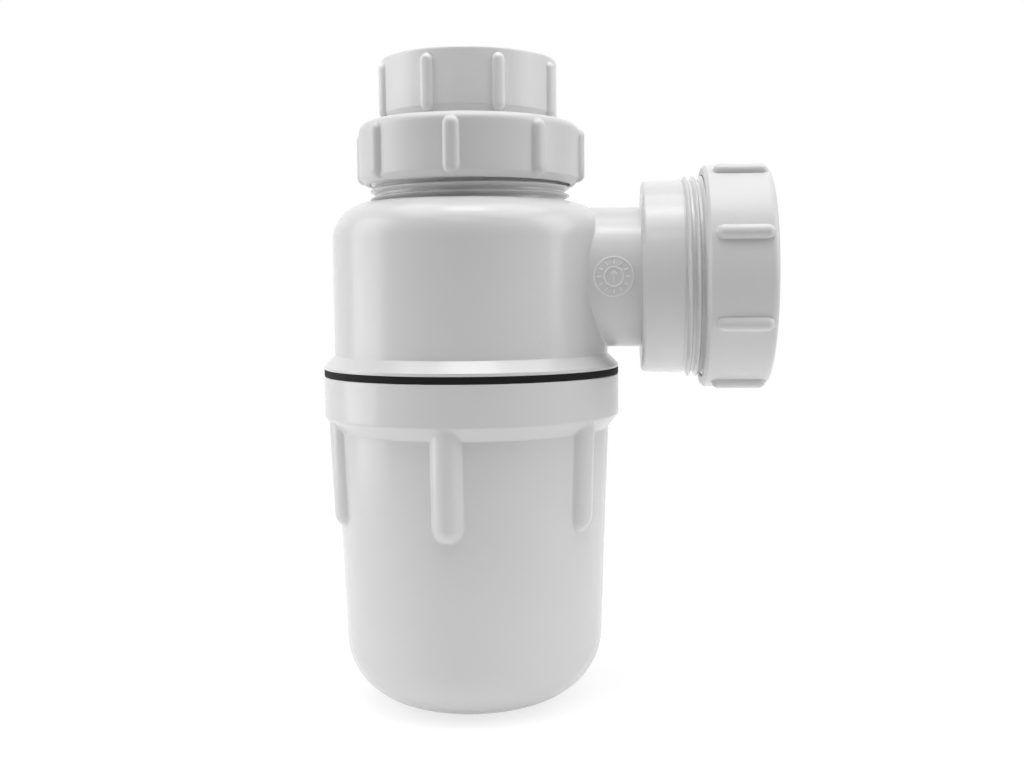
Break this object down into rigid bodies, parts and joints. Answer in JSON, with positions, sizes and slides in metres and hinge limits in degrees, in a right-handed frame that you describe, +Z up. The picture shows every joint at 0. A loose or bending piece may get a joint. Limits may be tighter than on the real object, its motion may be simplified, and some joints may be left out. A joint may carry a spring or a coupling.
{
  "type": "bottle trap",
  "caption": "Bottle trap in white plastic with a side outlet, a screw-off ribbed cup on a black seal, and a flanged inlet tube held by ribbed nuts.",
  "frame": {"origin": "centre of the cup's flat base, on the body's axis", "axes": "+Z up along the body and the inlet, +X along the outlet"},
  "size_m": [0.1328, 0.0886, 0.1912],
  "materials": {
    "body": "glossy moulded white polypropylene",
    "cup": "glossy moulded white polypropylene",
    "nuts": "glossy moulded white polypropylene",
    "tube": "glossy moulded white polypropylene",
    "slip_washers": "plain white polyethylene",
    "rubber": "matte black rubber"
  },
  "bodies": {
    "trap_body": {"trap_body": "body", "inlet_seal": "rubber", "outlet_seal": "rubber"},
    "inlet_slip_washer": {"inlet_slip_washer": "slip_washers"},
    "inlet_nut": {"inlet_nut": "nuts"},
    "coupling_washer": {"coupling_washer": "rubber"},
    "inlet_tube": {"inlet_tube": "tube"},
    "coupling_nut": {"coupling_nut": "nuts"},
    "outlet_slip_washer": {"outlet_slip_washer": "slip_washers"},
    "outlet_nut": {"outlet_nut": "nuts"},
    "cup_seal": {"cup_seal": "rubber"},
    "bottle_cup": {"bottle_cup": "cup"}
  },
  "joints": [
    {"name": "inlet_nut_travel", "type": "slide", "parent": "trap_body", "child": "inlet_slip_washer", "axis": [0, 0, 1], "range_m": [0, 0.00924]},
    {"name": "inlet_nut_turn", "type": "hinge", "parent": "inlet_slip_washer", "child": "inlet_nut", "pos_m": [0, 0, 0.16], "axis": [0, 0, 1], "range_deg": [0, 1440]},
    {"name": "tube_raise", "type": "slide", "parent": "inlet_slip_washer", "child": "coupling_washer", "axis": [0, 0, 1], "range_m": [0, 0.04]},
    {"name": "tube_swivel", "type": "hinge", "parent": "coupling_washer", "child": "inlet_tube", "pos_m": [0, 0, 0.18], "axis": [0, 0, 1], "continuous": true},
    {"name": "coupling_nut_spin", "type": "hinge", "parent": "coupling_washer", "child": "coupling_nut", "pos_m": [0, 0, 0.18], "axis": [0, 0, 1], "continuous": true},
    {"name": "outlet_nut_travel", "type": "slide", "parent": "trap_body", "child": "outlet_slip_washer", "axis": [1, 0, 0], "range_m": [0, 0.01155]},
    {"name": "outlet_nut_turn", "type": "hinge", "parent": "outlet_slip_washer", "child": "outlet_nut", "pos_m": [0.08, 0, 0.1271], "axis": [1, 0, 0], "range_deg": [0, 1800]},
    {"name": "cup_travel", "type": "slide", "parent": "trap_body", "child": "cup_seal", "axis": [0, 0, -1], "range_m": [0, 0.01]},
    {"name": "cup_turn", "type": "hinge", "parent": "cup_seal", "child": "bottle_cup", "pos_m": [0, 0, 0.09], "axis": [0, 0, -1], "range_deg": [0, 900]}
  ],
  "couplings": [
    {"joint": "inlet_nut_travel", "follows": "inlet_nut_turn", "m_per_rad": 0.00036749},
    {"joint": "outlet_nut_travel", "follows": "outlet_nut_turn", "m_per_rad": 0.00036749},
    {"joint": "cup_travel", "follows": "cup_turn", "m_per_rad": 0.00063662}
  ]
}
